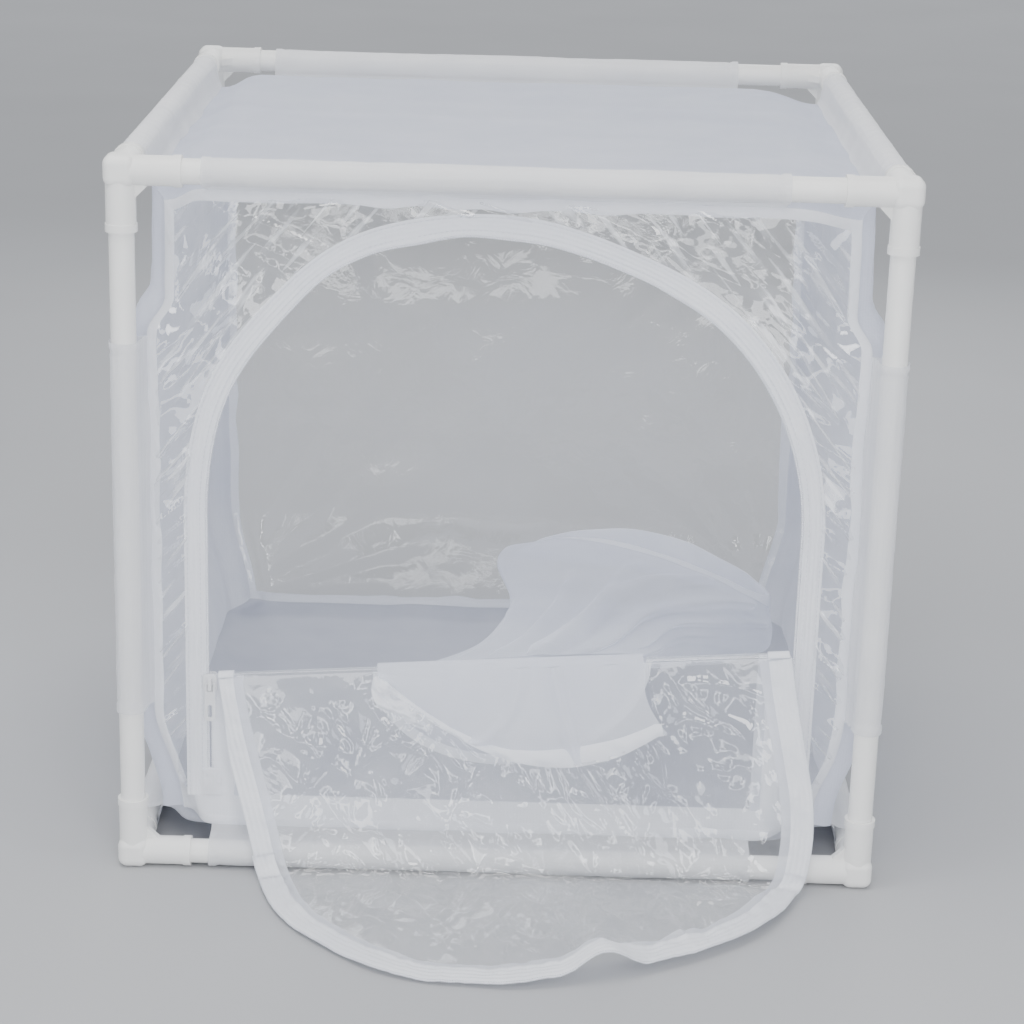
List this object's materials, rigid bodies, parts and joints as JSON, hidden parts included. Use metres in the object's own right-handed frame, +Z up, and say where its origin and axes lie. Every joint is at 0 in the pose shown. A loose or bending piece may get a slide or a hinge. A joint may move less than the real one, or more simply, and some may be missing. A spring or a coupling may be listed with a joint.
{
  "type": "enclosure tent",
  "caption": "Box tent of clear film and fine mesh sleeved onto a plastic-pipe frame, with a zipped arch door folded down in front and a mesh access sleeve.",
  "frame": {"origin": "middle of the pipe frame's footprint, on the surface it stands on", "axes": "+X to the right seen from the door, the door faces -Y, +Z up"},
  "size_m": [0.5, 0.6228, 0.476],
  "materials": {
    "fitting_plastic": "smooth moulded white plastic, satin",
    "pipe_plastic": "extruded white plastic pipe, satin",
    "tunnel_fabric": "thin white plain-weave polyester with fine pleats",
    "top_fabric": "fine bluish-white polyester, slightly see-through",
    "floor_fabric": "fine white polyester",
    "side_mesh": "fine white insect mesh",
    "clear_film": "clear flexible film, glossy, wrinkled",
    "binding_fabric": "white woven binding, stitched",
    "coil_nylon": "white nylon zip coil",
    "zip_tape": "white woven zip tape, ribbed",
    "ring_band": "white hem band, stitched",
    "sleeve_mesh": "sheer white mesh, soft folds",
    "slider_plastic": "white-enamelled zip hardware"
  },
  "bodies": {
    "frame": {"back_film": "clear_film", "back_seam": "binding_fabric", "depth_rail_bottom_left": "pipe_plastic", "depth_rail_bottom_right": "pipe_plastic", "depth_rail_top_left": "pipe_plastic", "depth_rail_top_right": "pipe_plastic", "fitting_bottom_back_left": "fitting_plastic", "fitting_bottom_back_right": "fitting_plastic", "fitting_bottom_front_left": "fitting_plastic", "fitting_bottom_front_right": "fitting_plastic", "fitting_top_back_left": "fitting_plastic", "fitting_top_back_right": "fitting_plastic", "fitting_top_front_left": "fitting_plastic", "fitting_top_front_right": "fitting_plastic", "floor_panel": "floor_fabric", "front_film": "clear_film", "front_seam": "binding_fabric", "post_back_left": "pipe_plastic", "post_back_right": "pipe_plastic", "post_front_left": "pipe_plastic", "post_front_right": "pipe_plastic", "side_panel_left": "side_mesh", "side_panel_right": "side_mesh", "sill_band": "binding_fabric", "sill_coils": "coil_nylon", "sill_film": "clear_film", "sill_tapes": "zip_tape", "sleeve_ring_sill": "ring_band", "top_panel": "top_fabric", "tunnel_depth_bottom_left": "tunnel_fabric", "tunnel_depth_bottom_right": "tunnel_fabric", "tunnel_depth_top_left": "tunnel_fabric", "tunnel_depth_top_right": "tunnel_fabric", "tunnel_post_back_left": "tunnel_fabric", "tunnel_post_back_right": "tunnel_fabric", "tunnel_post_front_left": "tunnel_fabric", "tunnel_post_front_right": "tunnel_fabric", "tunnel_width_bottom_back": "tunnel_fabric", "tunnel_width_bottom_front": "tunnel_fabric", "tunnel_width_top_back": "tunnel_fabric", "tunnel_width_top_front": "tunnel_fabric", "width_rail_bottom_back": "pipe_plastic", "width_rail_bottom_front": "pipe_plastic", "width_rail_top_back": "pipe_plastic", "width_rail_top_front": "pipe_plastic", "zip_coil_frame": "coil_nylon", "zip_end_patches": "binding_fabric", "zip_tape_frame": "zip_tape"},
    "flap_near": {"flap_film_near": "clear_film", "flap_tapes_near": "zip_tape", "flap_coils_near": "coil_nylon", "sleeve_ring_flap": "ring_band"},
    "flap_far": {"flap_film_far": "clear_film", "flap_tape_far": "zip_tape", "flap_coil_far": "coil_nylon"},
    "slider": {"zip_slider": "slider_plastic"},
    "pull": {"zip_pull": "slider_plastic"},
    "sleeve": {"access_sleeve": "sleeve_mesh", "sleeve_hem": "ring_band"}
  },
  "joints": [
    {"name": "door_fold", "type": "hinge", "parent": "frame", "child": "flap_near", "pos_m": [0, -0.216, 0.143], "axis": [-0.9976, 0, -0.0698], "range_deg": [0, 169]},
    {"name": "door_floor_bend", "type": "hinge", "parent": "flap_near", "child": "flap_far", "pos_m": [0.02002, -0.24663, 0.0022], "axis": [0.9999, -0.0136, 0], "range_deg": [0, 79.1]},
    {"name": "zip_slide", "type": "slide", "parent": "frame", "child": "slider", "axis": [0, 0, 1], "range_m": [-0.05, 0.11]},
    {"name": "pull_swing", "type": "hinge", "parent": "slider", "child": "pull", "pos_m": [-0.19, -0.2167, 0.125], "axis": [-1, 0, 0], "range_deg": [0, 165]},
    {"name": "sleeve_lift", "type": "hinge", "parent": "frame", "child": "sleeve", "pos_m": [0.015, -0.205, 0.146], "axis": [1, 0, 0], "range_deg": [0, 15]}
  ],
  "couplings": [
    {"joint": "door_floor_bend", "follows": "door_fold", "ratio": 0.46746}
  ]
}
